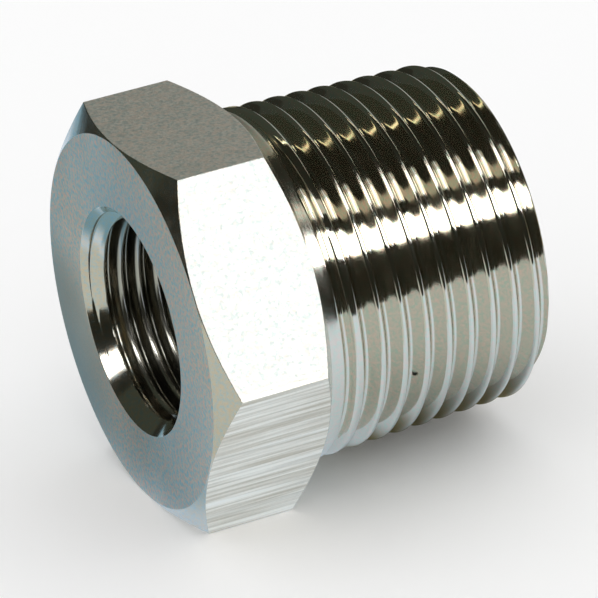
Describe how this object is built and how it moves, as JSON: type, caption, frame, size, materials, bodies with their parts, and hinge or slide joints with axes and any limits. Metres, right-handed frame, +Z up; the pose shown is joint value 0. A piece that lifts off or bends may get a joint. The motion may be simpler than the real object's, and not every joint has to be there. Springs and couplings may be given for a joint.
{
  "type": "hex reducing bushing",
  "caption": "Hexagon reducing bushing for pipe: a short wrench hexagon, a long taper male thread and a parallel female thread of smaller size opening in the hexagon's face.",
  "frame": {"origin": "middle of the hexagon's front face, on the axis of both threads", "axes": "+X along the thread axis from the front face to the end of the male thread, +Z up with the part lying on a flat of its hexagon"},
  "size_m": [0.0356, 0.0416, 0.036],
  "materials": {
    "steel": "machined stainless steel, satin on the turned faces and bright on the thread"
  },
  "bodies": {
    "root": {"hex_bushing": "steel"}
  },
  "joints": []
}
